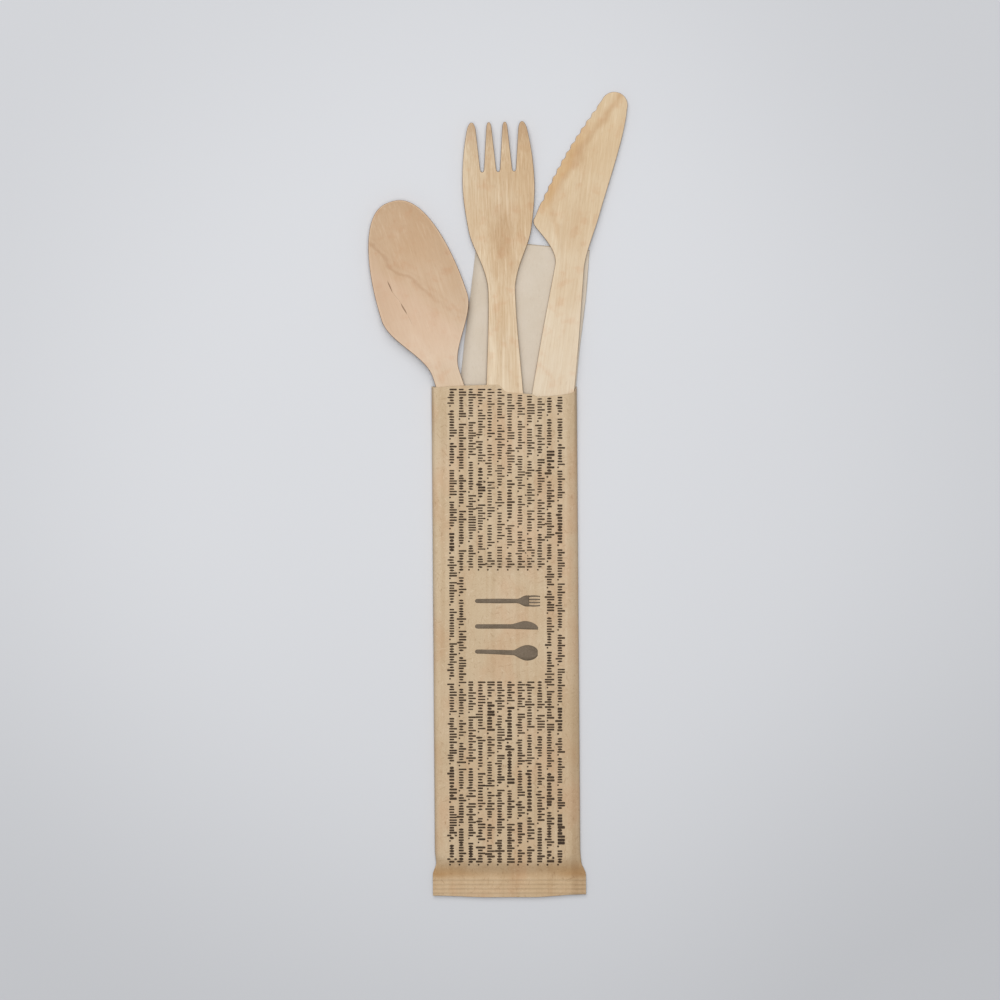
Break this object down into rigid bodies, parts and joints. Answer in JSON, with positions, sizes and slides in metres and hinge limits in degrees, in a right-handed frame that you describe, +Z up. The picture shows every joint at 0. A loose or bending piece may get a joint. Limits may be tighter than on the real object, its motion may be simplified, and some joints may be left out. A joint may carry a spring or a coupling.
{
  "type": "cutlery pack",
  "caption": "Pressed birch spoon, fork and knife with a folded tissue napkin, standing out of an open printed kraft paper sleeve with a crimped end, lying flat.",
  "frame": {"origin": "middle of the bottom of the whole pack's box, on the surface that it lies on", "axes": "+Z up from that surface, +Y from the sleeve's sealed end towards the bowl, tines and blade, +X to the right seen from above"},
  "size_m": [0.0964, 0.3, 0.0057],
  "materials": {
    "kraft_paper": "matt brown kraft paper with dark brown print",
    "napkin_tissue": "soft unbleached tissue",
    "spoon_birch": "pinkish birch veneer, sanded, unvarnished",
    "fork_birch": "straw-coloured birch veneer, sanded, unvarnished",
    "knife_birch": "pale yellow birch veneer, sanded, unvarnished"
  },
  "bodies": {
    "root": {"paper_sleeve": "kraft_paper", "napkin": "napkin_tissue", "spoon": "spoon_birch", "fork": "fork_birch", "knife": "knife_birch"}
  },
  "joints": []
}
